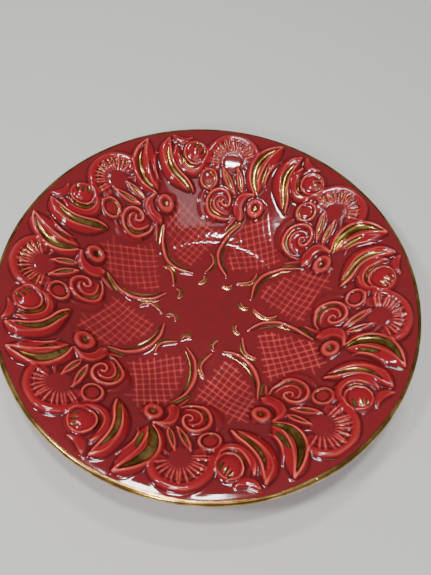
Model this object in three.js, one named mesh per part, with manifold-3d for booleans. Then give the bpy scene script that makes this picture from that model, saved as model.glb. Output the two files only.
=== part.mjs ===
// A round relief dish: a turned ceramic body with a foot ring, a gilded rim and eight
// repeats of moulded ornament laid on its glazed face. Millimetres, +Z up, with the origin
// in the middle of the circle that the foot ring stands on.
import * as THREE from 'three';
import Module from 'manifold-3d';

const wasm = await Module();
wasm.setup();

// ---- driving dimensions ----

const plateDiameter = 300;
const wellDepth = 38.5;
const wellRadius = 60; // flat floor, out to where the wall starts to climb
const wallBias = 0.82; // below 1 the wall climbs early and the flange lies flat
const baseThickness = 6;
const wallThickness = 5.5;
const rimThickness = 4.6;
const footHeight = 4.5;
const footRadius = 57; // to the middle of the ring
const footWidth = 6;
const footTaper = 1.2; // how much narrower each side of the ring is where it stands

const gildingThickness = 0.5;
const gildingOverlap = 3.2; // how far the gold runs in over the face and the back
const leafCrown = 1.7; // rise of a leaf, cushion or eye above its own edge
const budCrown = 2.4;
const fanCrown = 1.35;
const trimCrown = 0.85; // of collars, tails, drops, bands and seeds
const petalCrown = 0.5;
const ridgeCrown = 1.1;
const ridgeLift = 1.1; // ridges start inside the piece that they stand on
const lapLift = 0.3; // trim starts this far up where it laps over another part of its ornament
const reliefEdge = 0.6; // height of an ornament's edge above the bedding
const ringHole = 0.42; // the sunk middle of an eye or a drop, as a share of its radius
const jointGap = 0.3; // between the lip and its gilding
const beddingGap = 0.6; // layer of slip that holds an ornament on the face
const repeats = 8;
const patternTurn = THREE.MathUtils.degToRad(27.36); // from +Y to the first eye, seen from above

const bodySegments = 60;
const faceSteps = 11;
const backSteps = 7;
const lipSteps = 4;

// ---- values worked out from them ----

const floorTop = footHeight + baseThickness;
const bodyRadius = plateDiameter / 2 - gildingThickness - jointGap;
// The ornament is drawn for a dish of 300 mm and grows with the dish.
const drawnRadius = 150;
const drawingScale = plateDiameter / 2 / drawnRadius;

// ---- the face of the dish ----

// Height of the glazed face at a distance from the axis: a flat floor, then an S-shaped wall
// that eases into the flange.
function faceHeight(radius) {
  const climb = THREE.MathUtils.clamp((radius - wellRadius) / (bodyRadius - wellRadius), 0, 1);
  return floorTop + wellDepth * THREE.MathUtils.smoothstep(climb ** wallBias, 0, 1);
}

function faceSlope(radius) {
  const reach = 0.5;
  const rise = faceHeight(radius + reach) - faceHeight(radius - reach);
  return rise / (2 * reach);
}

// A point of the back, square to the face and one wall away from it. The wall thins evenly
// from the foot ring to the rim.
function backPoint(radius) {
  const share = (radius - footRadius) / (bodyRadius - footRadius);
  const wall = THREE.MathUtils.lerp(wallThickness, rimThickness, share);
  const tilt = Math.atan(faceSlope(radius));
  return new THREE.Vector2(radius + wall * Math.sin(tilt), faceHeight(radius) - wall * Math.cos(tilt));
}

// A point on the face of the drawing, lifted by the bedding and a height of its own.
function onFace(x, y, height) {
  const radius = Math.hypot(x, y) * drawingScale;
  return new THREE.Vector3(x * drawingScale, y * drawingScale, faceHeight(radius) + beddingGap + height);
}

// ---- solids ----

function meshGeometry(positions, indices) {
  const geometry = new THREE.BufferGeometry();
  geometry.setAttribute('position', new THREE.Float32BufferAttribute(positions, 3));
  geometry.setIndex(Array.from(indices));
  geometry.computeVertexNormals();
  return geometry;
}

// A closed skin over a row of rings with as many points each, with a fan over each end. Each
// ring runs counter-clockwise about the direction in which the row advances.
function loft(rings) {
  const size = rings[0].length;
  const points = rings.flat();
  const indices = [];
  for (let row = 0; row < rings.length - 1; row += 1) {
    for (let step = 0; step < size; step += 1) {
      const a = row * size + step;
      const b = row * size + ((step + 1) % size);
      indices.push(a, b, b + size, a, b + size, a + size);
    }
  }
  const last = (rings.length - 1) * size;
  const startHub = points.length;
  const endHub = startHub + 1;
  points.push(middle(rings[0]), middle(rings[rings.length - 1]));
  for (let step = 0; step < size; step += 1) {
    const next = (step + 1) % size;
    indices.push(startHub, next, step, endHub, last + step, last + next);
  }
  return meshGeometry(points.flatMap((point) => point.toArray()), indices);
}

function middle(ring) {
  const sum = new THREE.Vector3();
  ring.forEach((point) => sum.add(point));
  return sum.divideScalar(ring.length);
}

// The section of a strip, as shares of its half width from left to right over the top and
// then back along the underside. A wide strip follows the face under its middle too.
const wideSection = { over: arch(3), under: [-1, 0, 1] };
const narrowSection = { over: arch(2), under: [-1, 1] };

function arch(facets) {
  return Array.from({ length: facets + 1 }, (_, step) => (Math.PI * step) / facets);
}

// A rounded strip laid along a curve on the face. A station is x, y and width.
function strip(stations, crown, lift = 0, { over, under } = narrowSection) {
  const path = new THREE.CatmullRomCurve3(stations.map((station) => new THREE.Vector3(...station)));
  const widest = Math.max(...stations.map((station) => station[2]));
  const rings = stations.map(([x, y, width], i) => {
    const along = path.getTangent(i / (stations.length - 1));
    const left = new THREE.Vector2(-along.y, along.x).normalize().multiplyScalar(width / 2);
    const at = (across, height) => onFace(x + left.x * across, y + left.y * across, lift + height);
    const rise = crown * Math.sqrt(width / widest);
    return [
      ...over.map((turn) => at(Math.cos(turn), reliefEdge + rise * Math.sin(turn))),
      ...under.map((across) => at(across, 0)),
    ];
  });
  return loft(rings);
}

// A mound on a closed outline. A level is a share of the way from the middle to the outline
// and a height, listed from the middle of the underside to the top.
function mound(outline, centre, levels, lift = 0) {
  const ringAt = ([share, height]) => outline.map(([x, y]) => onFace(
    centre[0] + (x - centre[0]) * share,
    centre[1] + (y - centre[1]) * share,
    lift + height,
  ));
  return loft(levels.map(ringAt));
}

function domeLevels(crown) {
  const top = [1, 0.5].map((share) => [share, reliefEdge + crown * (1 - share * share)]);
  return [[1, 0], ...top];
}

// A raised ring with a sunk middle.
function ringLevels(crown) {
  return [
    [1, 0],
    [0.85, reliefEdge + crown],
    [ringHole, reliefEdge],
  ];
}

function ellipse([x, y], radiusX, radiusY, points) {
  const outline = [];
  for (let i = 0; i < points; i += 1) {
    const turn = (2 * Math.PI * i) / points;
    outline.push([x + radiusX * Math.cos(turn), y + radiusY * Math.sin(turn)]);
  }
  return outline;
}

// A closed smooth outline through a few corners, counter-clockwise from above.
function smoothOutline(corners, points) {
  const path = new THREE.CatmullRomCurve3(
    corners.map(([x, y]) => new THREE.Vector3(x, y, 0)),
    true,
  );
  return path.getSpacedPoints(points).slice(0, points).map(({ x, y }) => [x, y]);
}

function toManifold(geometry) {
  return new wasm.Manifold(new wasm.Mesh({
    numProp: 3,
    vertProperties: new Float32Array(geometry.attributes.position.array),
    triVerts: new Uint32Array(geometry.index.array),
  }));
}

function join(...pieces) {
  const whole = pieces.map(toManifold).reduce((sum, piece) => sum.add(piece));
  const { vertProperties, triVerts } = whole.getMesh();
  return meshGeometry(vertProperties, triVerts);
}

// ---- the body and its gilding ----

// The face, the rounded lip, the back, the foot ring and the recess inside it.
function bodyGeometry() {
  const footInside = footRadius - footWidth / 2;
  const footOutside = footRadius + footWidth / 2;
  const profile = [];
  profile.push(new THREE.Vector2(0, footHeight));
  profile.push(new THREE.Vector2(footInside - footTaper, footHeight));
  profile.push(new THREE.Vector2(footInside, 0));
  profile.push(new THREE.Vector2(footOutside, 0));
  profile.push(new THREE.Vector2(footOutside + footTaper, footHeight));
  const lip = lipCircle();
  const backStart = footOutside + wallThickness;
  for (let i = 0; i <= backSteps; i += 1) {
    profile.push(backPoint(THREE.MathUtils.lerp(backStart, lip.centre.x, i / backSteps)));
  }
  for (let i = 1; i < lipSteps; i += 1) {
    profile.push(lip.at(i, lip.radius));
  }
  for (let i = faceSteps; i >= 0; i -= 1) {
    const radius = THREE.MathUtils.lerp(wellRadius, lip.centre.x, i / faceSteps);
    profile.push(new THREE.Vector2(radius, faceHeight(radius)));
  }
  profile.push(new THREE.Vector2(0, floorTop));
  return turned(profile);
}

// A profile turned about the dish's own axis.
function turned(profile) {
  return new THREE.LatheGeometry(profile, bodySegments).rotateX(Math.PI / 2);
}

// The half-round lip that joins the face to the back, in steps from its back to its face.
function lipCircle() {
  const radius = rimThickness / 2;
  const centre = new THREE.Vector2(bodyRadius - radius, faceHeight(bodyRadius - radius) - radius);
  const at = (step, reach) => {
    const turn = (Math.PI * step) / lipSteps - Math.PI / 2;
    return new THREE.Vector2(centre.x + reach * Math.cos(turn), centre.y + reach * Math.sin(turn));
  };
  return { centre, radius, at };
}

// A thin band of gold folded over the lip.
function gildingGeometry() {
  const lip = lipCircle();
  const inner = lip.radius + jointGap;
  const outer = inner + gildingThickness;
  const inside = lip.centre.x + lip.radius - gildingOverlap;
  const slope = faceSlope(lip.centre.x);
  const drop = (lip.centre.x - inside) * slope;
  const profile = [];
  profile.push(new THREE.Vector2(inside, lip.centre.y - outer - drop));
  for (let i = 0; i <= lipSteps; i += 1) {
    profile.push(lip.at(i, outer));
  }
  profile.push(new THREE.Vector2(inside, lip.centre.y + outer - drop));
  profile.push(new THREE.Vector2(inside, lip.centre.y + inner - drop));
  for (let i = lipSteps; i >= 0; i -= 1) {
    profile.push(lip.at(i, inner));
  }
  profile.push(new THREE.Vector2(inside, lip.centre.y - inner - drop));
  profile.push(profile[0].clone());
  return turned(profile);
}

// ---- the ornament of one repeat ----
// Drawn with +y pointing outwards through the eye, for a dish of 300 mm.

// A split leaf that curls in from the flange.
function acanthusLeaf() {
  return join(
    strip([
      [2.5, 142, 2], [-3, 134, 14], [-7.5, 122, 18], [-7, 112, 16], [-4.5, 104, 3],
    ], leafCrown, 0, wideSection),
    strip([[-1.5, 138, 1.2], [-3.8, 129, 2.6], [-5, 119, 2.6], [-5, 109, 1.2]], ridgeCrown, ridgeLift),
  );
}

// A long S-shaped leaf beside it, running down to a point.
function scrollLeaf() {
  return strip([
    [20, 138.5, 2], [16, 131, 10.5], [13.5, 121, 11.5], [14.5, 112, 11.5], [19.5, 103.5, 8], [24.3, 96.5, 1.5],
  ], leafCrown, 0, wideSection);
}

// A round bud in a collar, with a forked tail above it and a ringed drop below it.
function bud() {
  const centre = [36, 121];
  const head = mound(ellipse(centre, 10, 10, 10), centre, domeLevels(budCrown));
  const collar = strip([
    [24.5, 129.5, 2], [23.6, 120.5, 6], [27.6, 113.2, 6.4], [33.6, 110.6, 6], [40.5, 112, 2.5],
  ], leafCrown, lapLift);
  const tail = strip([[25, 140, 1.6], [29, 131.4, 6], [37.5, 131.2, 2.4]], trimCrown, lapLift);
  const dropCentre = [40, 99.5];
  const drop = mound(ellipse(dropCentre, 5.6, 5.8, 8), dropCentre, ringLevels(trimCrown));
  const dropTip = strip([[40, 103.5, 4.5], [39.5, 112, 3]], trimCrown, lapLift);
  return join(head, collar, tail, drop, dropTip);
}

// A ribbed shell round a smooth disc, with a plain band outside it and two seeds below.
function shell() {
  const centre = [-30, 117];
  const ribs = 8;
  const ribLength = 1.2;
  const fanReach = 16.4;
  const fan = [];
  for (let i = 0; i <= 2 * ribs; i += 1) {
    const degrees = THREE.MathUtils.lerp(40, 215, i / (2 * ribs));
    fan.push(polar(centre, fanReach - (i % 2) * ribLength, degrees));
  }
  fan.push(polar(centre, 9.4, 250), polar(centre, 9, 290), polar(centre, 8.6, 330));
  const fanLevels = [
    [0.5, 0],
    [1, 0],
    [0.9, reliefEdge + fanCrown],
    [0.5, reliefEdge],
  ];
  const bandReach = 18.3;
  const band = [[42, 2], [80, 5], [120, 5], [160, 4.5], [195, 2.5]];
  return join(
    mound(fan, centre, fanLevels),
    strip(band.map(([degrees, width]) => [...polar(centre, bandReach, degrees), width]), trimCrown, lapLift),
    strip([[-34, 111, 2], [-27.7, 104.6, 5.8], [-20.5, 99.6, 1.6]], trimCrown, lapLift),
    strip([[-25, 113, 2], [-18.8, 107.8, 5.2], [-14.6, 103, 1.4]], trimCrown, lapLift),
  );
}

function polar([x, y], reach, degrees) {
  const turn = THREE.MathUtils.degToRad(degrees);
  return [x + reach * Math.cos(turn), y + reach * Math.sin(turn)];
}

// A cushion wound round by a spiral ridge that tightens evenly towards its middle.
function volute() {
  const centre = [-26.5, 86.6];
  const outerReach = 10.4;
  const innerReach = 3;
  const sweep = 520;
  const stations = [];
  const steps = 9;
  for (let i = 0; i <= steps; i += 1) {
    const reach = THREE.MathUtils.lerp(outerReach, innerReach, i / steps);
    stations.push([...polar(centre, reach, -34 - (sweep * i) / steps), i === 0 ? 1.2 : 2.4]);
  }
  return join(
    mound(ellipse(centre, 10.8, 10.8, 10), centre, domeLevels(leafCrown)),
    strip(stations, ridgeCrown, ridgeLift),
  );
}

// A ringed eye under a hood, with a short stem running down from it.
function eye() {
  const centre = [0.5, 93];
  return join(
    mound(ellipse(centre, 6.4, 6.4, 12), centre, ringLevels(leafCrown)),
    strip([[-4.6, 100.4, 2], [-9, 95.5, 7.6], [-9, 89.5, 7], [-3, 85.6, 2]], leafCrown, lapLift),
    strip([[-7, 88, 3], [-11, 80, 4], [-15, 72.5, 1.2]], trimCrown, lapLift),
  );
}

// A low petal of the well, edged by a long curved rib and ending in a tendril.
function petal() {
  const outline = smoothOutline([
    [-8.5, 75], [-11.5, 66], [-12, 55], [-8.5, 45], [1, 36.5], [11, 36], [19, 39.5],
    [23.5, 49], [31, 61], [27, 72], [21, 86], [11, 87], [6.5, 83], [-2, 81],
  ], 16);
  const levels = [
    [0.5, 0],
    [1, 0],
    [1, reliefEdge / 2],
    [0.4, reliefEdge + petalCrown],
  ];
  return join(
    mound(outline, [9, 63], levels),
    strip([
      [-8.2, 76, 1.4], [-12.4, 65, 2.8], [-12.4, 52, 2.8], [-7.5, 42.5, 2.8], [1, 35.4, 1.4],
    ], ridgeCrown, lapLift),
    strip([
      [20.6, 45.5, 1.6], [21, 40.5, 2.8], [11, 33.6, 2.6], [7.4, 27.4, 2.4], [2.5, 24.6, 1.2],
    ], ridgeCrown, lapLift),
  );
}

// ---- the dish ----

function glaze(colour, roughness = 0.12) {
  return new THREE.MeshStandardMaterial({ color: colour, roughness, metalness: 0 });
}

function gold() {
  return new THREE.MeshStandardMaterial({ color: 0xbe9f63, roughness: 0.3, metalness: 1 });
}

function addPiece(parent, name, geometry, material) {
  const piece = new THREE.Mesh(geometry, material);
  piece.name = name;
  parent.add(piece);
}

const ornaments = {
  acanthus_leaf: { geometry: acanthusLeaf(), colour: 0xa82e30 },
  scroll_leaf: { geometry: scrollLeaf(), colour: 0xb03632 },
  bud: { geometry: bud(), colour: 0xc24a3e },
  shell: { geometry: shell(), colour: 0xd66450 },
  volute: { geometry: volute(), colour: 0xa42a2e },
  eye: { geometry: eye(), colour: 0xb83c38 },
  petal: { geometry: petal(), colour: 0x96282c },
};

const dish = new THREE.Group();
addPiece(dish, 'plate_body', bodyGeometry(), glaze(0x862a2c));
addPiece(dish, 'rim_gilding', gildingGeometry(), gold());
for (let repeat = 0; repeat < repeats; repeat += 1) {
  const sector = new THREE.Group();
  sector.rotation.z = patternTurn - (2 * Math.PI * repeat) / repeats;
  for (const [kind, { geometry, colour }] of Object.entries(ornaments)) {
    addPiece(sector, `${kind}_${repeat + 1}`, geometry, glaze(colour));
  }
  dish.add(sector);
}

export default dish;
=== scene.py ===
"""A moulded ceramic plate under a deep red glaze that breaks to coral, with fired gold.

The whole glazed face is one height field over a polar grid: ground, ornaments, grooves and
lattice are laid on it in turn. Each ornament's region is then cut out as a piece of its own.
"""

import math

import bpy
import numpy as np
from mathutils import Matrix, Vector


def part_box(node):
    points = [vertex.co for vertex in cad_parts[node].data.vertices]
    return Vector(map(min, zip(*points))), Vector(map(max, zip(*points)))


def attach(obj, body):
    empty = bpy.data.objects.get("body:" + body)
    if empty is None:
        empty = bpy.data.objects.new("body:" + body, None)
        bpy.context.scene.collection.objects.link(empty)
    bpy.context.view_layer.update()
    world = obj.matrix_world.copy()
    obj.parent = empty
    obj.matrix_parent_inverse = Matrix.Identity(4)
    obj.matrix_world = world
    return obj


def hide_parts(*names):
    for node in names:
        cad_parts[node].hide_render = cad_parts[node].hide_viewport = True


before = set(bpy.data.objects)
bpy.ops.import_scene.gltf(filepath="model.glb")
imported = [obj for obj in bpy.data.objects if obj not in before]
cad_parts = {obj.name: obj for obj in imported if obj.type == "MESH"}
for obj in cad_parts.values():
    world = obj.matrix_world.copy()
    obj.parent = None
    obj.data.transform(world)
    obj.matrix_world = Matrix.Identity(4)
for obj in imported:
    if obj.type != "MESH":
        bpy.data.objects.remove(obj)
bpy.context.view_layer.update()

# ---- sizes of the plate, in millimetres ----

MM = 0.001
REPEATS = 8
PATTERN_TURN = 27.36  # degrees from +Y to the first eye, seen from above

body_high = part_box("plate_body")[1]
rim_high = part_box("rim_gilding")[1]
BODY_RADIUS = body_high.x / MM
OUTER_RADIUS = rim_high.x / MM - 0.1
WELL_DEPTH = 38.5
WELL_RADIUS = 60.0
WALL_BIAS = 0.82
FLOOR_EASE = 4.0  # the floor turns into the wall over about this length
FLOOR_TOP = 10.5
WALL = 5.5
LIP_RADIUS = 2.3
FOOT_RADIUS = 57.0
FOOT_WIDTH = 6.0
FOOT_HEIGHT = 4.5
FOOT_TAPER = 1.2

ROW_STEP = 0.6
COLUMNS = 1440
BORDER_START = 144.6  # where the plain border begins to belong to the rim's own piece
GOLD_START = 146.7  # inner edge of the gold on the lip
LIP_GOLD_REACH = 100.0  # nothing of the back nearer the middle than this is gilded
NO_GOLD = -9.0  # millimetres inside the edge of the gold, where there is none
OWNER_REACH = 1.1  # an ornament's own piece ends this far outside its edge
HAND_WANDER = 0.5  # how far hand work strays from the drawing
BODY_SINK = 0.55  # depth of the body's skin under the pieces that cover it
PIECE_DEPTH = 1.0
GILDING_DEPTH = 0.9
BORDER_FADE = 2.0  # the relief dies out over this length before the rim's piece

rng = np.random.default_rng(11)


def face_height(radius):
    """The glazed ground: a flat floor, an S-shaped wall and a nearly flat border."""
    past = radius - WELL_RADIUS
    eased = (past + np.hypot(past, FLOOR_EASE)) / 2
    climb = np.clip(eased / (BODY_RADIUS - WELL_RADIUS), 0, 1) ** WALL_BIAS
    return FLOOR_TOP + WELL_DEPTH * climb * climb * (3 - 2 * climb)


def face_tilt(radius):
    return np.arctan(face_height(radius + 0.5) - face_height(radius - 0.5))


# ---- the grid: rows run from the middle of the face, over the lip and the back ----

lip_x = OUTER_RADIUS - LIP_RADIUS
lip_z = face_height(lip_x) - LIP_RADIUS


def profile():
    """Radius and height of each row, and how many of the rows lie on the face."""
    inner = np.array([0.05, 3, 6, 9, 12, 15, 17.4])
    face = np.concatenate([inner, np.arange(18, lip_x, ROW_STEP), [lip_x]])
    turn = np.radians(np.linspace(90, -90, 15))[1:]
    lip = np.stack([lip_x + LIP_RADIUS * np.cos(turn), lip_z + LIP_RADIUS * np.sin(turn)], 1)
    share = np.linspace(1, 0, 30)[1:]
    foot_edge = FOOT_RADIUS + FOOT_WIDTH / 2 + FOOT_TAPER
    start = foot_edge + 3
    base = start + share * (lip_x - start)
    wall = 2 * LIP_RADIUS + (WALL - 2 * LIP_RADIUS) * (1 - share)
    tilt = face_tilt(base)
    back = np.stack([base + wall * np.sin(tilt), face_height(base) - wall * np.cos(tilt)], 1)
    outer = FOOT_RADIUS + FOOT_WIDTH / 2
    inside = FOOT_RADIUS - FOOT_WIDTH / 2
    fillet = 1.4
    foot = [
        (foot_edge + fillet, FOOT_HEIGHT + 0.15),
        (foot_edge + 0.3, FOOT_HEIGHT - 0.3),
        (outer + 0.5, 1.4),
        (outer + 0.1, 0.5),
        (outer - 0.4, 0.08),
        (outer - 1.0, 0.0),
        (inside + 1.0, 0.0),
        (inside + 0.4, 0.08),
        (inside - 0.1, 0.5),
        (inside - 0.5, 1.6),
        (inside - FOOT_TAPER, FOOT_HEIGHT - 0.4),
        (inside - FOOT_TAPER - 0.6, FOOT_HEIGHT - 0.05),
        (inside - FOOT_TAPER - 2.0, FOOT_HEIGHT),
        (30.0, FOOT_HEIGHT),
        (12.0, FOOT_HEIGHT),
        (0.05, FOOT_HEIGHT),
    ]
    ring = np.concatenate([lip, back, np.array(foot)])
    radius = np.concatenate([face, ring[:, 0]])
    height = np.concatenate([face_height(face), ring[:, 1]])
    return radius, height, len(face)


row_radius, row_height, face_rows = profile()
column_turn = np.arange(COLUMNS) * (2 * np.pi / COLUMNS)
face_radius = row_radius[:face_rows]


def waves(count, shortest, longest, seed):
    """A smooth wandering field over the plate, about -1 to 1, from a sum of slow waves."""
    pick = np.random.default_rng(seed)
    x = face_radius[:, None] * np.cos(column_turn)
    y = face_radius[:, None] * np.sin(column_turn)
    total = np.zeros_like(x)
    for _ in range(count):
        turn, phase = pick.uniform(0, 2 * np.pi, 2)
        pitch = 2 * np.pi / pick.uniform(shortest, longest)
        total += np.sin((x * np.cos(turn) + y * np.sin(turn)) * pitch + phase)
    return total / math.sqrt(count)


# Hand work: the drawing wanders a little from one repeat to the next.
wander_x = HAND_WANDER * waves(8, 18, 60, 1)
wander_y = HAND_WANDER * waves(8, 18, 60, 2)

relief = np.zeros((face_rows, COLUMNS))
gold = np.full((face_rows, COLUMNS), NO_GOLD)  # millimetres inside the edge of the gold
owner = np.full((face_rows, COLUMNS), -1, dtype=np.int32)
owner_reach = np.full((face_rows, COLUMNS), OWNER_REACH)  # distance to the nearest ornament's edge
tint = np.zeros((face_rows, COLUMNS))

piece_names = []


def piece_id(name):
    if name not in piece_names:
        piece_names.append(name)
    return piece_names.index(name)


# ---- strokes: the one tool that the ornament is drawn with ----

def spline(stations, closed=False, step=0.8):
    """Points of a smooth curve through stations of x, y and width."""
    p = np.array(stations, dtype=float)
    if closed:
        p = np.concatenate([p[-1:], p, p[:2]])
    else:
        p = np.concatenate([2 * p[:1] - p[1:2], p, 2 * p[-1:] - p[-2:-1]])
    out = []
    for a, b, c, d in zip(p, p[1:], p[2:], p[3:]):
        n = max(2, int(np.hypot(*(c - b)[:2]) / step))
        t = (np.arange(n) / n)[:, None]
        out.append(b + 0.5 * t * (c - a + t * (2 * a - 5 * b + 4 * c - d + t * (3 * (b - c) + d - a))))
    out.append(p[-2:-1])
    out = np.concatenate(out)
    out[:, 2] = np.maximum(out[:, 2], 0.05)
    return out


def window(points, repeat, margin):
    """Rows, columns and drawn x and y of the grid near a stroke of one repeat."""
    reach = points[:, 2].max() / 2 + margin
    r = np.hypot(points[:, 0], points[:, 1])
    rows = np.nonzero((face_radius > r.min() - reach) & (face_radius < r.max() + reach))[0]
    turn = np.unwrap(np.arctan2(-points[:, 0], points[:, 1]))
    spread = reach / max(r.min(), reach + 1)
    axis = math.radians(90 + PATTERN_TURN - 360 / REPEATS * repeat)
    pitch = 2 * np.pi / COLUMNS
    first = int(math.floor((turn.min() - spread + axis) / pitch))
    last = int(math.ceil((turn.max() + spread + axis) / pitch))
    columns = np.arange(first, last + 1)
    place = np.ix_(rows, columns % COLUMNS)
    bearing = columns * pitch - axis
    radius = face_radius[rows][:, None]
    x = -radius * np.sin(bearing)
    y = radius * np.cos(bearing)
    c, s = math.cos(axis - math.pi / 2), math.sin(axis - math.pi / 2)
    dx, dy = wander_x[place], wander_y[place]
    return place, x + c * dx + s * dy, y - s * dx + c * dy


def reach_of(points, x, y):
    """Distance from the stroke's edge, negative inside, and the share of its half width."""
    a, b = points[:-1], points[1:]
    along = b - a
    length = np.maximum((along[:, :2] ** 2).sum(1), 1e-9)
    px = x.ravel()[:, None] - a[:, 0]
    py = y.ravel()[:, None] - a[:, 1]
    t = np.clip((px * along[:, 0] + py * along[:, 1]) / length, 0, 1)
    far = np.hypot(px - t * along[:, 0], py - t * along[:, 1])
    half = (a[:, 2] + t * along[:, 2]) / 2
    edge = far - half
    best = edge.argmin(1)
    pick = np.arange(len(best))
    share = far[pick, best] / half[pick, best]
    return edge[pick, best].reshape(x.shape), share.reshape(x.shape)


def plateau(share, width):
    """Nearly flat on top, with an edge that rounds down over its last few millimetres."""
    t = np.clip((1 - share) * width / 2 / 2.6, 0, 1)
    return t * t * (3 - 2 * t) * (1 - 0.12 * share * share)


def roll(share, width):
    """A full round section, as of a roll of clay laid on the face."""
    return np.clip(1 - share ** 2, 0, 1) ** 0.62


def dome(share, width):
    return np.sqrt(np.clip(1 - share ** 2, 0, 1))


def crest(share, width):
    return np.clip(1 - share ** 2, 0, 1) ** 1.5


def scoop(share):
    """A hollow with a rounded floor and fairly crisp edges."""
    return np.clip(1 - share ** 2, 0, 1) ** 0.8


# How far the gold stops short of its hollow's edge, in each repeat.
GOLD_SPARED = {
    "acanthus_leaf": (1.5, 0.2, 0, 0, 0, 0.1, 0.9, 0.7),
    "scroll_leaf": (0.1, 0, 0.1, 0.9, 0.8, 0.1, 0, 0),
    "shell": (0, 0, 0.1, 0.3, 0.3, 0.3, 0.3, 0.1),
}


class Drawing:
    """Draws strokes for one kind of ornament, once in each repeat."""

    def __init__(self, kind):
        self.kind = kind
        self.shift = rng.uniform(-0.35, 0.35, (REPEATS, 2))
        self.swell = rng.uniform(0.94, 1.07, REPEATS)
        self.spare = rng.uniform(-0.15, 0.2, REPEATS) + np.array(GOLD_SPARED.get(kind, (0,) * REPEATS))

    def each(self, stations, closed, margin):
        points = spline(stations, closed)
        for repeat in range(REPEATS):
            moved = points.copy()
            moved[:, :2] += self.shift[repeat]
            place, x, y = window(moved, repeat, margin)
            edge, share = reach_of(moved, x, y)
            yield repeat, place, edge, share, points[:, 2].max()

    def own(self, repeat, place, edge):
        if self.kind is None:
            return
        number = piece_id(f"{self.kind}_{repeat + 1}")
        nearer = edge < owner_reach[place]
        owner[place] = np.where(nearer, number, owner[place])
        owner_reach[place] = np.where(nearer, edge, owner_reach[place])

    def body(self, stations, height, closed=False, form=plateau):
        """A mound that stands on the ground and swallows what is lower."""
        for repeat, place, edge, share, width in self.each(stations, closed, 1.5):
            rise = height * self.swell[repeat] * form(share, width)
            relief[place] = np.maximum(relief[place], rise)
            self.own(repeat, place, edge)

    def ridge(self, stations, height, closed=False):
        """A rounded ridge added to whatever it runs over."""
        for repeat, place, edge, share, width in self.each(stations, closed, 1.5):
            relief[place] += height * self.swell[repeat] * crest(share, width)
            self.own(repeat, place, edge)

    def groove(self, stations, depth, closed=False):
        for _, place, _, share, width in self.each(stations, closed, 0.5):
            relief[place] -= depth * scoop(share)

    def gild(self, stations, depth=0.0, closed=False):
        """Gold brushed along a hollow, which is sunk first if it has a depth."""
        for repeat, place, edge, share, width in self.each(stations, closed, 1.5):
            relief[place] -= depth * scoop(share)
            gold[place] = np.maximum(gold[place], -edge - self.spare[repeat])

    def tinge(self, stations, strength, closed=False, shown=(1,) * REPEATS):
        """Raises a line's share of the coral colour without changing its shape."""
        for repeat, place, _, share, width in self.each(stations, closed, 0.5):
            # shown scales the colour in each repeat; for the lattice it carries painted light
            colour = strength * shown[repeat] * crest(share, width)
            tint[place] = np.minimum(tint[place] + colour, 0.92)


def circle(x, y, radius, width, start=0, stop=360, count=12):
    turns = np.radians(np.linspace(start, stop, count, endpoint=stop - start < 360))
    return [(x + radius * math.cos(a), y + radius * math.sin(a), width) for a in turns]


def spot(x, y, radius):
    """A stroke as short as a round dab."""
    return [(x, y, 2 * radius), (x + 0.05, y, 2 * radius)]


# ---- the ornament, with +y outwards through the eye ----

def draw_petals():
    """The rib that curves round each field of the well, two pairs of tendrils and the lattice."""
    d = Drawing("petal")
    rib = [
        (-5.5, 80, 1.0), (-8.5, 74.5, 2.0), (-11.4, 68.5, 3.0), (-12.8, 61, 3.8), (-12.8, 54, 3.8),
        (-10.6, 47, 3.4), (-6.2, 40.4, 2.8), (1.5, 34.6, 1.0),
    ]
    d.body(rib, 1.5, form=roll)
    d.tinge([(x - 0.3, y, 0.62 * w) for x, y, w in rib], 0.5)
    d.gild([
        (-8.6, 71, 0.8), (-9.9, 63, 1.8), (-9.5, 55, 2.0), (-7.2, 48, 1.8), (-3, 41.8, 1.4),
        (1, 37.8, 0.8),
    ], 0.2)
    for inner, outer in (
        (
            [(22.1, 46.8, 1.6), (22.2, 42.4, 2.4), (20.2, 38.2, 2.3), (15.5, 35.2, 2.1), (10.8, 33, 1.2)],
            [(23, 47, 1.2), (24.1, 43, 2.0), (22.6, 38.2, 2.2), (18.3, 34.8, 2.0), (13, 32.4, 1.1)],
        ),
        (
            [(8.1, 29.6, 1.5), (7.6, 27, 2.1), (5.2, 25.4, 2), (2.4, 25.2, 1.3)],
            [(9, 29.6, 1.2), (8.9, 26.6, 2.1), (6.2, 24.2, 2.4), (3.4, 23.5, 2.2), (1.8, 24.2, 1.4)],
        ),
    ):
        d.body(inner, 1.15, form=roll)
        d.tinge(inner, 0.4)
        d.gild(outer, 0.1)
    draw_lattice(d)


FIELD = [
    (-4.6, 61), (-3.6, 74), (-1.4, 82), (5, 87.5), (12, 95), (16, 91.5), (21.5, 89), (21.5, 79),
    (25, 72.5), (31.5, 67), (34, 62), (27.5, 54.5), (18, 50), (6, 42), (-1, 47),
]
LATTICE_PITCH = 4.7
LATTICE_RISE = 0.06
LATTICE_ANGLES = (33, -59)  # degrees of its two families of lines from +x
LEAST_LINE = 6.0  # shorter lines of the lattice are left out
LATTICE_MIDDLE = (12.0, 66.0)
# How strongly the lattice colour shows in each repeat: painted light, brighter on the lower right and
# bottom of the plate and dimmer at the top and left.
LATTICE_PAINTED_LIGHT = (0.8, 1.0, 1.0, 1.35, 1.3, 1.1, 0.8, 0.72)


def crossing(middle, along):
    """Where a line through the lattice field enters and leaves it."""
    corners = np.array(FIELD)
    side = np.array([-along[1], along[0]])
    off = (corners - middle) @ side
    run = (corners - middle) @ along
    hits = []
    for i in range(len(corners)):
        j = (i + 1) % len(corners)
        if (off[i] < 0) != (off[j] < 0):
            hits.append(run[i] + (run[j] - run[i]) * off[i] / (off[i] - off[j]))
    return (min(hits), max(hits)) if len(hits) >= 2 else None


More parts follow.
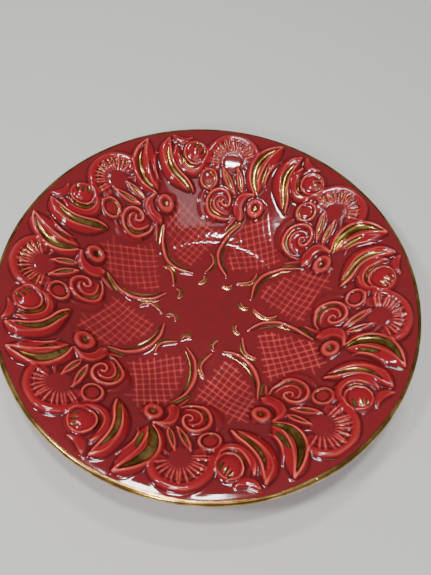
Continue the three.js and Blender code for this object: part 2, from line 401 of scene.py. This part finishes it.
def draw_lattice(d):
    """Two families of fine raised lines that stop unevenly at the edge of the field."""
    for degrees in LATTICE_ANGLES:
        along = np.array([math.cos(math.radians(degrees)), math.sin(math.radians(degrees))])
        side = np.array([-along[1], along[0]])
        for step in range(-7, 8):
            middle = np.array(LATTICE_MIDDLE) + side * LATTICE_PITCH * step
            ends = crossing(middle, along)
            if ends is None or ends[1] - ends[0] < LEAST_LINE:
                continue
            low = ends[0] + rng.uniform(-1.6, 1.2)
            high = ends[1] + rng.uniform(-1.2, 1.6)
            bow = rng.uniform(-0.5, 0.5)
            stations = []
            for share in (0, 0.33, 0.67, 1):
                swing = bow * math.sin(math.pi * share)
                x, y = middle + along * (low + (high - low) * share) + side * swing
                stations.append((x, y, rng.uniform(1.15, 1.6)))
            d.ridge(stations, LATTICE_RISE)
            # painted light: the lattice colour is stronger on the plate's lower right and weaker at the top
            # and left
            d.tinge(stations, rng.uniform(0.36, 0.6), shown=LATTICE_PAINTED_LIGHT)


def draw_acanthus():
    """A broad split leaf with two gilded hollows, three ridges and a side lobe."""
    d = Drawing("acanthus_leaf")
    d.body([
        (2.6, 142, 3), (-3, 134, 15.5), (-7.4, 122, 20), (-7, 112, 17.5), (-4.5, 104.6, 6),
    ], 2.9, form=roll)
    d.gild([
        (0.2, 139.5, 0.8), (-6, 132.5, 4.8), (-9.6, 125, 6.8), (-10.2, 117.5, 7),
        (-7.4, 109.6, 5.8), (-3, 103.6, 2.4),
    ], 2.2)
    d.ridge([
        (3.2, 142.6, 1.4), (-6.8, 136.6, 3), (-13.6, 128.6, 3.8), (-15.2, 120.5, 4),
        (-12.8, 111.8, 3.6), (-5.2, 103.4, 1.8),
    ], 0.9)
    d.ridge([
        (3.2, 142, 1.2), (-0.4, 134.5, 2.8), (-3.2, 126.5, 3.2), (-4.4, 118, 2.2),
        (-4.6, 110, 1.2),
    ], 0.9)
    d.gild([(-2.2, 123.4, 1.8), (-1.7, 117, 3.8), (-1.4, 110.6, 1.6)], 0.9)
    d.ridge([(6.4, 132, 1.2), (3, 125.4, 2.8), (0.9, 118.4, 2.8), (1.2, 112.4, 2), (3.2, 108.6, 0.9)], 1.35)
    d.body([(-22.4, 117.8, 1), (-17.6, 116.5, 2.6), (-13.6, 113, 3.4), (-9.6, 107, 2)], 1.2, form=roll)


def draw_scroll_leaf():
    """A long leaf bent like an S, with one gilded hollow between two ridges."""
    d = Drawing("scroll_leaf")
    d.body([
        (20.5, 138.6, 3), (15.4, 131.5, 12.5), (13.2, 121, 14.5), (14.8, 111.5, 14),
        (20.2, 103.6, 10), (24.4, 96.8, 2.5),
    ], 3.0, form=roll)
    d.gild([
        (17.6, 131.6, 1), (14.7, 124.5, 3.8), (14.3, 117, 4.5), (16.4, 109.6, 4.4),
        (20.2, 102.4, 3.4), (22.9, 96.6, 1.6),
    ], 1.7)
    d.ridge([
        (19, 138, 1.4), (12.4, 131.6, 3.2), (10.2, 121.5, 3.2), (11.8, 112.4, 3),
        (16.2, 105, 1.6),
    ], 0.55)
    d.ridge([
        (20.6, 136, 1.2), (18, 127, 2.8), (17.6, 118, 3), (19.4, 110.4, 2.8), (23.2, 103, 2.2),
        (25.2, 97, 1),
    ], 1.05)


def draw_bud():
    """A round bud with three dabs of gold in a ribbed collar, a forked tail and a ringed drop."""
    d = Drawing("bud")
    d.body([
        (24.2, 131, 2), (21, 123.6, 7), (22.4, 114.4, 8.4), (28.2, 109.4, 8), (35.4, 108.8, 7),
        (42.4, 113.6, 2),
    ], 2.1, form=roll)
    d.body(spot(35.4, 120.6, 11), 1.7)
    d.body(spot(36.2, 120.8, 7.8), 3.1, form=dome)
    d.ridge(circle(35.6, 120.8, 9.0, 2.4), 0.9, closed=True)
    d.groove([
        (29.6, 129, 0.8), (26.6, 124.6, 1.8), (25.6, 119, 2.2), (27.4, 113.4, 2.2),
        (32, 110.6, 2), (37.6, 111, 1),
    ], 0.9)
    d.ridge([
        (23.6, 131.6, 1), (19.8, 123.4, 2.6), (20.6, 115.6, 3), (25.2, 109, 3),
        (32, 107.2, 2.8), (39, 108.9, 2.2), (43, 113.4, 1),
    ], 0.5)
    d.ridge([
        (28.6, 131, 1.2), (24.3, 125.5, 2.2), (23, 119.5, 2.4), (24.6, 112.8, 2.4),
        (30.4, 109.4, 2.4), (37.4, 110, 2.2), (43.8, 115.4, 1.4),
    ], 0.75)
    d.ridge([
        (31, 128.4, 1), (28.2, 124, 1.6), (27.6, 118.4, 1.8), (30.4, 113.8, 1.6),
        (35.6, 112, 1.4), (41, 114.2, 1),
    ], 0.6)
    d.gild([(26.9, 124.6, 0.9), (26, 118.6, 2.2), (28.4, 113.4, 1.8), (32, 111.8, 0.8)], 0.1)
    d.ridge([(32, 130.4, 1.2), (38.6, 131, 2), (44.2, 127, 2.2), (45.8, 120.6, 1.8), (43.8, 115.2, 1)], 0.7)
    for x, y in ((37.2, 126), (38.7, 122.3), (40.2, 118.6)):
        d.gild([(x - 1.6, y - 1, 1.3), (x + 0.6, y + 0.1, 2.2), (x + 2.8, y + 1.8, 1.5)], 0.5)
    d.body([
        (24.4, 141.4, 1.4), (26.2, 136.8, 5.6), (29.6, 133.6, 6.6), (33.6, 133, 4.6),
        (38, 133.6, 1.4),
    ], 1.5, form=roll)
    d.ridge([(24, 141.6, 1), (27.8, 138.2, 1.8), (31.6, 135.6, 1.8), (38, 133.9, 1)], 0.55)
    d.body(spot(40, 99.6, 8.6), 1.3)
    d.body([(40, 104, 8), (40.6, 107.6, 5), (41, 110.8, 1.8)], 1.3)
    d.ridge(circle(40, 99.4, 6.6, 3.0), 1.0, closed=True)
    d.groove(circle(40, 99.4, 4.4, 1.8), 0.5, closed=True)
    d.gild(circle(40, 99.2, 4.6, 1.0, 150, 420, 9), 0.2)


SHELL = (-30.0, 117.0)


def draw_shell():
    """A fan of ribs with gold between them, in a plain band, and two gilded seeds."""
    d = Drawing("shell")
    x, y = SHELL
    d.body(circle(x, y, 20.2, 6.8, 38, 200, 9), 2.3, form=roll)
    d.body(circle(x, y, 13.0, 9.6, 34, 216, 9), 1.5)
    d.groove(circle(x, y, 12.4, 7.4, 40, 210, 9), 0.8)
    ribs = 14
    for i in range(ribs):
        turn = math.radians(208 - 168 * i / (ribs - 1))
        bend = rng.uniform(-0.05, 0.05)
        stations = []
        for reach, width in ((8.0, 1.2), (11.5, 1.7), (15, 2.0), (17.6, 1.4)):
            at = turn + bend * (reach - 8) / 4
            stations.append((x + reach * math.cos(at), y + reach * math.sin(at), width))
        d.ridge(stations, 1.15)
        d.tinge([(px, py, 0.75 * w) for px, py, w in stations], 0.62)
        if i < ribs - 1:
            between = math.radians(208 - 168 * (i + 0.5) / (ribs - 1))
            stations = []
            for reach, width in ((10.4, 0.4), (13.2, 1.1), (16.6, 1.6)):
                stations.append((x + reach * math.cos(between), y + reach * math.sin(between), width))
            d.gild(stations, 0.35)
    d.body(spot(x, y, 8.6), 0.9)
    seeds = (
        ([(-34.8, 110.2, 2), (-31, 106.6, 5.8), (-26, 102.6, 6.8), (-21.4, 99, 4.6), (-18.6, 97.2, 1.6)],
         [(-32.2, 107.8, 0.8), (-28.6, 105, 2.5), (-24.6, 101.6, 2.7), (-21, 98.8, 0.8)]),
        ([(-24.4, 114.4, 1.6), (-20.8, 109.8, 5.4), (-17, 104.6, 6), (-14.4, 100.8, 2.4)],
         [(-22.2, 111.6, 0.8), (-19.4, 107.8, 2.3), (-16.8, 104, 2.5), (-15, 101.4, 1)]),
    )
    for outline, hollow in seeds:
        d.body(outline, 2.1, form=roll)
        d.gild(hollow, 1.7)
        d.tinge([(px, py, w * 0.95) for px, py, w in outline], 0.22)


def draw_volute():
    """A cushion wound with a spiral ridge and a second one inside it."""
    d = Drawing("volute")
    d.body(spot(-28, 86, 11.8), 1.6, form=dome)
    d.body([(-42.4, 89, 2), (-41.6, 82, 6), (-36.5, 75.6, 7), (-28, 73.6, 4)], 1.0, form=roll)
    coil = [
        (-14, 80.8, 1.4), (-18, 77.5, 2.4), (-24, 75.3, 3.2), (-30.5, 75.4, 3.8),
        (-35.2, 79, 4), (-37.2, 85, 4),
        (-35.6, 91.2, 4), (-31, 95.2, 4.2), (-25.4, 95.4, 4.2), (-21.1, 92.2, 3.8), (-19.8, 88.2, 3.2),
        (-21.3, 85.4, 2.4), (-24.4, 85, 2), (-26.4, 87, 2), (-24.9, 89.2, 1.8),
    ]
    d.ridge(coil, 1.9)
    d.ridge([
        (-17.6, 81.2, 0.8), (-24, 79.5, 2.1), (-29.2, 80.6, 2.7), (-31.9, 84.6, 2.9),
        (-31.1, 88.8, 2.8), (-27.9, 91.4, 2), (-25.2, 91.4, 1),
    ], 1.3)
    d.gild([(-35.2, 88, 0.7), (-34.4, 83, 1.5), (-31.2, 79.2, 2), (-26, 77.6, 1.7), (-21, 78.2, 0.7)], 0.3)


def draw_eye():
    """A ringed eye with a gold pupil, a hooded brow and a short stem."""
    d = Drawing("eye")
    d.body([
        (-4.6, 100.8, 4), (-10.4, 96.8, 10), (-12, 90.6, 10.4), (-9.8, 85.2, 9), (-8, 82.4, 4),
    ], 2.3, form=roll)
    d.body([(1, 93, 13), (6.4, 95.4, 6)], 1.0)
    d.groove([(-4, 99.6, 1.4), (-7.4, 96.6, 3), (-8.2, 91.4, 3.2), (-5.6, 86.8, 2)], 1.6)
    d.ridge([
        (-3.4, 102, 1.2), (-9.4, 99.6, 2.6), (-14.4, 96, 3), (-15.8, 91, 2.8),
        (-14.2, 85.6, 2.2), (-12.4, 82.6, 1.2),
    ], 0.5)
    d.body([(-11, 84.4, 2), (-13, 77.8, 3), (-15.6, 71.6, 1)], 1.2, form=roll)
    d.gild([(-5.6, 81.4, 0.8), (-9.4, 76.6, 2.4), (-12.8, 71.6, 2.6), (-15.2, 67.8, 1)], 0.15)
    d.body(circle(0.4, 93, 4.6, 5.2), 2.6, closed=True, form=roll)
    d.gild(spot(0.5, 93.1, 1.9), 0.3)


draw_petals()
draw_eye()
draw_volute()
draw_shell()
draw_acanthus()
draw_scroll_leaf()
draw_bud()


# ---- the glaze softens the relief, pools in hollows and thins on ridges; the dark of the pools is partly painted shade ----

def blurred(field, radius):
    """The field smoothed by a Gaussian of one radius in millimetres all over the plate."""
    waves_round = np.arange(COLUMNS // 2 + 1)
    turn = radius / np.maximum(face_radius, radius)
    damp = np.exp(-0.5 * (waves_round[None, :] * turn[:, None]) ** 2)
    smooth = np.fft.irfft(np.fft.rfft(field, axis=1) * damp, n=COLUMNS, axis=1)
    reach = int(math.ceil(3 * radius / ROW_STEP))
    weights = np.exp(-0.5 * (np.arange(-reach, reach + 1) * ROW_STEP / radius) ** 2)
    weights /= weights.sum()
    padded = np.pad(smooth, ((reach, reach), (0, 0)), mode="edge")
    return sum(w * padded[i:i + face_rows] for i, w in enumerate(weights))


fade = np.clip((BORDER_START - face_radius) / BORDER_FADE, 0, 1)[:, None]
relief *= fade
relief = 1.18 * blurred(relief, 0.45)
# thin is above zero on ridges, where the glaze breaks to coral, and below zero in hollows and at the foot
# of the ornaments, where it paints the dark of pooled glaze and of shade
thin = (relief - 0.8 * blurred(relief, 0.8) - 0.2 * blurred(relief, 2.0)) * fade
pool = 0.6 * np.maximum(blurred(relief, 1.15) - relief, 0)
relief += pool
# the pool also deepens the dark in the colour: partly pooled glaze, partly painted shade beside the
# ornaments
thin -= 0.5 * pool
lift = blurred((owner >= 0).astype(float), 0.8) * np.clip((relief - 0.5) / 2.2, 0, 1)
tint = blurred(tint, 0.3) * fade
relief += 0.07 * waves(10, 25, 70, 3) * fade


# ---- the skin of the plate as one closed grid of points ----

rows = len(row_radius)
skin_gold = np.full((rows, COLUMNS), NO_GOLD)
skin_thin = np.zeros((rows, COLUMNS))
skin_lift = np.zeros((rows, COLUMNS))
skin_tint = np.zeros((rows, COLUMNS))
skin_gold[:face_rows] = gold
skin_thin[:face_rows] = thin
skin_lift[:face_rows] = lift
skin_tint[:face_rows] = tint
brush_wander = 0.28 * np.sin(column_turn * 7 + 1.3) + 0.2 * np.sin(column_turn * 17 + 0.4)
on_border = row_radius[:, None] - GOLD_START + brush_wander[None, :]
past_border = (np.arange(rows) >= face_rows) | (row_radius > BORDER_START)
near_lip = (past_border & (row_radius > LIP_GOLD_REACH))[:, None]
skin_gold = np.where(near_lip, np.maximum(skin_gold, on_border), skin_gold)

skin_paint = (skin_gold, skin_thin, skin_lift, skin_tint)

points = np.empty((rows, COLUMNS, 3))
points[..., 0] = row_radius[:, None] * np.cos(column_turn)
points[..., 1] = row_radius[:, None] * np.sin(column_turn)
points[..., 2] = row_height[:, None]
points[:face_rows, :, 2] += relief
points *= MM

across = np.roll(points, -1, axis=1) - np.roll(points, 1, axis=1)
down = np.gradient(points, axis=0)
normals = np.cross(down, across)
normals /= np.linalg.norm(normals, axis=2, keepdims=True)

# Each quad belongs to the ornament that any of its corners lies in, to the rim or to the body.
rim_id = piece_id("rim_gilding")
skin_owner = np.full((rows, COLUMNS), -1, dtype=np.int32)
skin_owner[:face_rows] = owner
corner_owners = np.stack([
    skin_owner[:-1],
    skin_owner[1:],
    np.roll(skin_owner, -1, axis=1)[:-1],
    np.roll(skin_owner, -1, axis=1)[1:],
])
quad_owner = corner_owners.max(0)
lip_quads = np.zeros(rows - 1, dtype=bool)
lip_quads[(np.minimum(row_radius[:-1], row_radius[1:]) >= BORDER_START)] = True
quad_owner[lip_quads] = rim_id


def new_object(name, coords, faces, smooth_normals, paint, flat_map):
    """A mesh object with its normals, its paint attributes and a map seen from above."""
    mesh = bpy.data.meshes.new(name)
    mesh.vertices.add(len(coords))
    mesh.vertices.foreach_set("co", coords.astype(np.float32).ravel())
    sizes = np.array([len(f) for f in faces[1]], dtype=np.int32) if len(faces[1]) else np.empty(0, np.int32)
    quads = faces[0].astype(np.int32)
    loops = np.concatenate([quads.ravel(), np.array([v for f in faces[1] for v in f], dtype=np.int32)])
    totals = np.concatenate([np.full(len(quads), 4, dtype=np.int32), sizes])
    starts = np.concatenate([[0], np.cumsum(totals)[:-1]]).astype(np.int32)
    mesh.loops.add(len(loops))
    mesh.loops.foreach_set("vertex_index", loops)
    mesh.polygons.add(len(totals))
    mesh.polygons.foreach_set("loop_start", starts)
    mesh.polygons.foreach_set("use_smooth", np.ones(len(totals), dtype=bool))
    mesh.update(calc_edges=True)
    for label, values in zip(("gold", "thin", "lift", "tint"), paint):
        attribute = mesh.attributes.new(label, "FLOAT", "POINT")
        attribute.data.foreach_set("value", values.astype(np.float32))
    layer = mesh.uv_layers.new(name="OFBake", do_init=False)
    layer.uv.foreach_set("vector", flat_map[loops].astype(np.float32).ravel())
    mesh.normals_split_custom_set_from_vertices(smooth_normals.astype(np.float32))
    ob = bpy.data.objects.new(name, mesh)
    bpy.context.scene.collection.objects.link(ob)
    return ob


def map_from_above(coords, shown, low, span):
    """Flat map: what is seen from above on the left, and the rest on the right."""
    flat = (coords[:, :2] - low) / span
    flat[:, 0] *= 0.49
    flat[:, 0] += np.where(shown, 0.0, 0.51)
    return 0.002 + 0.996 * flat


def cut_piece(name, number, depth):
    """The quads of one owner, closed by an underside and a wall along their border."""
    mine = quad_owner == number
    i, j = np.nonzero(mine)
    k = (j + 1) % COLUMNS
    corners = np.stack([i * COLUMNS + j, (i + 1) * COLUMNS + j, (i + 1) * COLUMNS + k, i * COLUMNS + k], 1)
    used, index = np.unique(corners, return_inverse=True)
    top = index.reshape(corners.shape)
    count = len(used)
    flat_points = points.reshape(-1, 3)[used]
    flat_normals = normals.reshape(-1, 3)[used]
    bottom_points = flat_points - flat_normals * depth * MM
    if number != rim_id:
        radius = np.hypot(flat_points[:, 0], flat_points[:, 1]) / MM
        bottom_points = flat_points.copy()
        bottom_points[:, 2] = (face_height(radius) - depth) * MM
    walls = []
    above = np.zeros_like(mine)
    above[1:] = mine[:-1]
    below = np.zeros_like(mine)
    below[:-1] = mine[1:]
    sides = (
        (mine & ~above, 3, 0),
        (mine & ~below, 1, 2),
        (mine & ~np.roll(mine, 1, axis=1), 0, 1),
        (mine & ~np.roll(mine, -1, axis=1), 2, 3),
    )
    order = np.full(mine.shape, -1)
    order[i, j] = np.arange(len(i))
    for edge, a, b in sides:
        cells = order[edge]
        va, vb = top[cells, a], top[cells, b]
        walls.append(np.stack([vb, va, va + count, vb + count], 1))
    quads = np.concatenate([top, top[:, ::-1] + count] + walls)
    coords = np.concatenate([flat_points, bottom_points])
    paint = [np.tile(field.ravel()[used], 2) for field in skin_paint]
    shown = np.arange(2 * count) < count
    low = coords[:, :2].min(0)
    span = (coords[:, :2].max(0) - low).max()
    return new_object(
        name,
        coords,
        (quads, []),
        np.concatenate([flat_normals, -flat_normals]),
        paint,
        map_from_above(coords, shown, low, span),
    )


def make_body():
    """The whole skin, sunk where an ornament or the rim's piece covers it."""
    covered = quad_owner >= 0
    left = np.roll(covered, 1, axis=1)
    whole = np.zeros((rows, COLUMNS), dtype=bool)
    whole[1:-1] = covered[:-1] & covered[1:] & left[:-1] & left[1:]
    sunk = points - normals * BODY_SINK * MM * whole[..., None]
    coords = sunk.reshape(-1, 3)
    i, j = np.meshgrid(np.arange(rows - 1), np.arange(COLUMNS), indexing="ij")
    k = (j + 1) % COLUMNS
    quads = np.stack([i * COLUMNS + j, (i + 1) * COLUMNS + j, (i + 1) * COLUMNS + k, i * COLUMNS + k], -1)
    top_cap = np.arange(COLUMNS)
    bottom_cap = np.arange(COLUMNS)[::-1] + (rows - 1) * COLUMNS
    shown = np.repeat(np.arange(rows) < face_rows, COLUMNS)
    low = coords[:, :2].min(0)
    span = (coords[:, :2].max(0) - low).max()
    return new_object(
        "plate_glazed_body",
        coords,
        (quads.reshape(-1, 4), [top_cap, bottom_cap]),
        normals.reshape(-1, 3),
        [field.ravel() for field in skin_paint],
        map_from_above(coords, shown, low, span),
    )


# ---- materials ----

def node(tree, kind, **values):
    made = tree.nodes.new(kind)
    for key, value in values.items():
        setattr(made, key, value)
    return made


def link(tree, source, target):
    tree.links.new(source, target)


def math_node(tree, operation, a, b=None, clamp=False):
    made = node(tree, "ShaderNodeMath", operation=operation, use_clamp=clamp)
    for slot, value in ((0, a), (1, b)):
        if value is None:
            continue
        if isinstance(value, (int, float)):
            made.inputs[slot].default_value = value
        else:
            link(tree, value, made.inputs[slot])
    return made.outputs[0]


def ramp_between(tree, value, low, high, to_low=0.0, to_high=1.0):
    made = node(tree, "ShaderNodeMapRange", interpolation_type="SMOOTHSTEP")
    link(tree, value, made.inputs["Value"])
    made.inputs["From Min"].default_value = low
    made.inputs["From Max"].default_value = high
    made.inputs["To Min"].default_value = to_low
    made.inputs["To Max"].default_value = to_high
    return made.outputs["Result"]


def mixed(tree, factor, a, b):
    made = node(tree, "ShaderNodeMix", data_type="RGBA")
    link(tree, factor, made.inputs["Factor"])
    for slot, value in ((6, a), (7, b)):
        if isinstance(value, tuple):
            made.inputs[slot].default_value = (*value, 1)
        else:
            link(tree, value, made.inputs[slot])
    return made.outputs[2]


def noise(tree, place, scale, detail=2.0, roughness=0.5):
    made = node(tree, "ShaderNodeTexNoise")
    link(tree, place, made.inputs["Vector"])
    made.inputs["Scale"].default_value = scale
    made.inputs["Detail"].default_value = detail
    made.inputs["Roughness"].default_value = roughness
    return made.outputs["Fac"]


def attribute(tree, name):
    return node(tree, "ShaderNodeAttribute", attribute_name=name, attribute_type="GEOMETRY").outputs["Fac"]


def spatter(tree, place):
    """A few specks of gold that fell beside the brush, only on the raised ornaments."""
    cells = node(tree, "ShaderNodeTexVoronoi", feature="F1")
    link(tree, place, cells.inputs["Vector"])
    cells.inputs["Scale"].default_value = 330
    pick = node(tree, "ShaderNodeSeparateColor")
    link(tree, cells.outputs["Color"], pick.inputs[0])
    speck = ramp_between(tree, cells.outputs["Distance"], 0.15, 0.1)
    chosen = math_node(tree, "GREATER_THAN", pick.outputs["Red"], 0.93)
    raised = ramp_between(tree, attribute(tree, "lift"), 0.05, 0.3)
    return math_node(tree, "MULTIPLY", math_node(tree, "MULTIPLY", speck, chosen), raised)


def srgb(r, g, b):
    """A colour as the eye sees it, 0 to 255, in the renderer's linear light."""
    return tuple(((v / 255 + 0.055) / 1.055) ** 2.4 for v in (r, g, b))


GROUND_RED = srgb(120, 30, 35)
RELIEF_RED = srgb(152, 26, 34)
CORAL = srgb(250, 116, 96)
LATTICE_CORAL = srgb(240, 88, 82)
# dark crimson of pooled glaze, partly painted shade at the foot of the ornaments
POOLED_AND_SHADED = srgb(78, 12, 18)
GOLD_LIGHT = srgb(226, 184, 112)
GOLD_DEEP = srgb(146, 108, 54)
UMBER = srgb(36, 23, 11)
BISQUE = srgb(206, 178, 150)
BISQUE_DARK = srgb(180, 146, 118)
GLAZE_ROUGHNESS = 0.05
GOLD_ROUGHNESS = 0.15
GLAZE_IOR = 1.56


def centred(tree, value, size):
    """A noise between 0 and 1 turned into one about 0, of the given size."""
    return math_node(tree, "MULTIPLY", math_node(tree, "SUBTRACT", value, 0.5), size)


def red_glaze(tree, place, mottle, streak):
    """Deep red in hollows, darkest at the foot of the ornaments as pooled glaze and painted shade, brighter
    on the ornaments and coral where thin on ridges.
    """
    thinness = math_node(tree, "ADD", attribute(tree, "thin"), centred(tree, streak, 0.10))
    raised = ramp_between(tree, attribute(tree, "lift"), 0.05, 0.7)
    red = mixed(tree, raised, GROUND_RED, RELIEF_RED)
    red = mixed(tree, ramp_between(tree, mottle, 0.35, 0.75, 0.0, 0.22), red, RELIEF_RED)
    # painted shade: sides and hollows of the relief turn dark crimson, partly real pooled glaze and partly
    # shade painted into the colour
    red = mixed(tree, ramp_between(tree, thinness, -0.03, -0.45, 0.0, 0.82), red, POOLED_AND_SHADED)
    halo = ramp_between(tree, thinness, 0.1, 0.42, 0.0, 0.38)
    core = ramp_between(tree, thinness, 0.32, 0.74, 0.0, 0.62)
    broken = ramp_between(tree, mottle, 0.2, 0.7, 0.55, 1.1)
    line = math_node(tree, "MULTIPLY", attribute(tree, "tint"), broken)
    red = mixed(tree, line, red, LATTICE_CORAL)
    pale = math_node(tree, "ADD", halo, core, clamp=True)
    patchy = ramp_between(tree, noise(tree, place, 45, 2, 0.5), 0.3, 0.7, 0.5, 1.05)
    return mixed(tree, math_node(tree, "MULTIPLY", pale, patchy), red, CORAL)


def fired_gold(tree, place, streak):
    """How far the gold covers the glaze, and its colour, burnt at its edge and in patches."""
    edge = math_node(tree, "ADD", attribute(tree, "gold"), centred(tree, streak, 0.9))
    cover = math_node(tree, "MAXIMUM", ramp_between(tree, edge, -0.08, 0.22), spatter(tree, place))
    worn = ramp_between(tree, noise(tree, place, 70, 4, 0.6), 0.35, 0.68)
    gilt = mixed(tree, worn, GOLD_DEEP, GOLD_LIGHT)
    burnt = ramp_between(tree, noise(tree, place, 110, 3, 0.6), 0.52, 0.7, 0.0, 0.6)
    in_hollow = ramp_between(tree, attribute(tree, "lift"), 0.02, 0.12)
    gilt = mixed(tree, math_node(tree, "MULTIPLY", burnt, in_hollow), gilt, UMBER)
    return cover, mixed(tree, ramp_between(tree, edge, 0.75, 0.05, 0.0, 0.85), gilt, UMBER)


def bare_clay(tree, place, mottle):
    """Where the glaze was wiped off the foot ring, up to a slightly wavy line."""
    height = node(tree, "ShaderNodeSeparateXYZ")
    link(tree, place, height.inputs[0])
    waver = math_node(tree, "MULTIPLY", mottle, -0.0012)
    glaze_edge = math_node(tree, "ADD", height.outputs["Z"], waver)
    return ramp_between(tree, glaze_edge, 0.0008, 0.0004)


def glaze_material(name):
    """Glossy red glaze with fired gold in the hollows and a bare foot ring."""
    material = bpy.data.materials.new(name)
    material.use_nodes = True
    tree = material.node_tree
    shader = tree.nodes["Principled BSDF"]
    place = node(tree, "ShaderNodeNewGeometry").outputs["Position"]
    mottle = noise(tree, place, 90, 3, 0.6)
    grain = noise(tree, place, 900, 2, 0.6)
    streak = noise(tree, place, 320, 3, 0.6)

    cover, gilt = fired_gold(tree, place, streak)
    colour = mixed(tree, cover, red_glaze(tree, place, mottle, streak), gilt)
    bare = bare_clay(tree, place, mottle)
    biscuit = mixed(tree, grain, BISQUE, BISQUE_DARK)
    link(tree, mixed(tree, bare, colour, biscuit), shader.inputs["Base Color"])

    glazed = math_node(tree, "SUBTRACT", 1.0, bare)
    metal = math_node(tree, "MULTIPLY", cover, glazed, clamp=True)
    link(tree, math_node(tree, "MULTIPLY", metal, 0.95), shader.inputs["Metallic"])
    rough = node(tree, "ShaderNodeMapRange")
    link(tree, metal, rough.inputs["Value"])
    rough.inputs["To Min"].default_value = GLAZE_ROUGHNESS
    rough.inputs["To Max"].default_value = GOLD_ROUGHNESS
    bare_too = math_node(tree, "ADD", rough.outputs["Result"], math_node(tree, "MULTIPLY", bare, 0.7))
    uneven = math_node(tree, "ADD", bare_too, math_node(tree, "MULTIPLY", mottle, 0.04))
    link(tree, uneven, shader.inputs["Roughness"])
    shader.inputs["IOR"].default_value = GLAZE_IOR

    ripple = node(tree, "ShaderNodeBump")
    ripple.inputs["Strength"].default_value = 0.05
    ripple.inputs["Distance"].default_value = 0.0002
    link(tree, noise(tree, place, 130, 1, 0.4), ripple.inputs["Height"])
    link(tree, ripple.outputs["Normal"], shader.inputs["Normal"])
    return material


relief_glaze = glaze_material("relief_glaze")


def add_piece(ob, material, slot, *replaced):
    ob.data.materials.append(material)
    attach(ob, "root")
    if replaced:
        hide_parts(*replaced)


add_piece(make_body(), relief_glaze, "ground_glaze", "plate_body")
for label in piece_names:
    depth = GILDING_DEPTH if label == "rim_gilding" else PIECE_DEPTH
    piece = cut_piece(label + "_glazed", piece_id(label), depth)
    slot_name = "gold_lustre" if label == "rim_gilding" else "relief_glaze"
    if label.startswith("petal"):
        slot_name = "well_glaze"
    add_piece(piece, relief_glaze, slot_name, label)


# ---- floor, light and camera ----

def make_floor():
    bpy.ops.mesh.primitive_plane_add(size=6)
    floor = bpy.context.object
    floor.name = "floor"
    material = bpy.data.materials.new("pale_floor")
    material.use_nodes = True
    shader = material.node_tree.nodes["Principled BSDF"]
    shader.inputs["Base Color"].default_value = (0.72, 0.71, 0.69, 1)
    shader.inputs["Roughness"].default_value = 0.8
    floor.data.materials.append(material)
    floor.location.z = -0.0001


def add_light(name, place, aim, size, power):
    lamp = bpy.data.lights.new(name, "AREA")
    lamp.shape = "RECTANGLE"
    lamp.size, lamp.size_y = size
    lamp.energy = power
    ob = bpy.data.objects.new(name, lamp)
    bpy.context.scene.collection.objects.link(ob)
    ob.location = place
    ob.rotation_mode = "QUATERNION"
    ob.rotation_quaternion = (Vector(aim) - Vector(place)).to_track_quat("-Z", "Y")


def make_world():
    world = bpy.data.worlds.new("studio")
    world.use_nodes = True
    back = world.node_tree.nodes["Background"]
    back.inputs["Color"].default_value = (0.95, 0.97, 1, 1)
    back.inputs["Strength"].default_value = 0.2
    bpy.context.scene.world = world


def make_camera():
    """Looks down on the plate from the front at about 59 degrees above the rim's plane."""
    data = bpy.data.cameras.new("camera")
    data.sensor_width = 36
    data.lens = 640 / 575 * 36
    data.clip_start = 0.01
    ob = bpy.data.objects.new("camera", data)
    bpy.context.scene.collection.objects.link(ob)
    right = Vector((0.9941, 0.0892, 0.0615))
    up = Vector((-0.1080, 0.8578, 0.5026))
    back = right.cross(up)
    turn = Matrix((right, up, back)).transposed().to_4x4()
    rim_plane = body_high.z
    ob.matrix_world = Matrix.Translation((0, -0.2287, 0.3876 + rim_plane)) @ turn
    bpy.context.scene.camera = ob


make_floor()
make_world()
add_light("lamp_left", (-0.69, -0.4, 1.26), (0, 0, 0), (0.13, 0.13), 6.4)
add_light("lamp_over", (-0.05, -0.12, 1.5), (0, 0, 0), (0.13, 0.1), 8)
add_light("lamp_back", (-0.05, 0.36, 1.41), (0, 0, 0), (0.24, 0.07), 4.6)
add_light("lamp_front", (-0.2, -1.0, 1.05), (0, 0, 0), (0.16, 0.12), 5.2)
add_light("ceiling", (0.22, -0.72, 1.6), (0, 0, 0), (0.8, 0.5), 2.4)
make_camera()
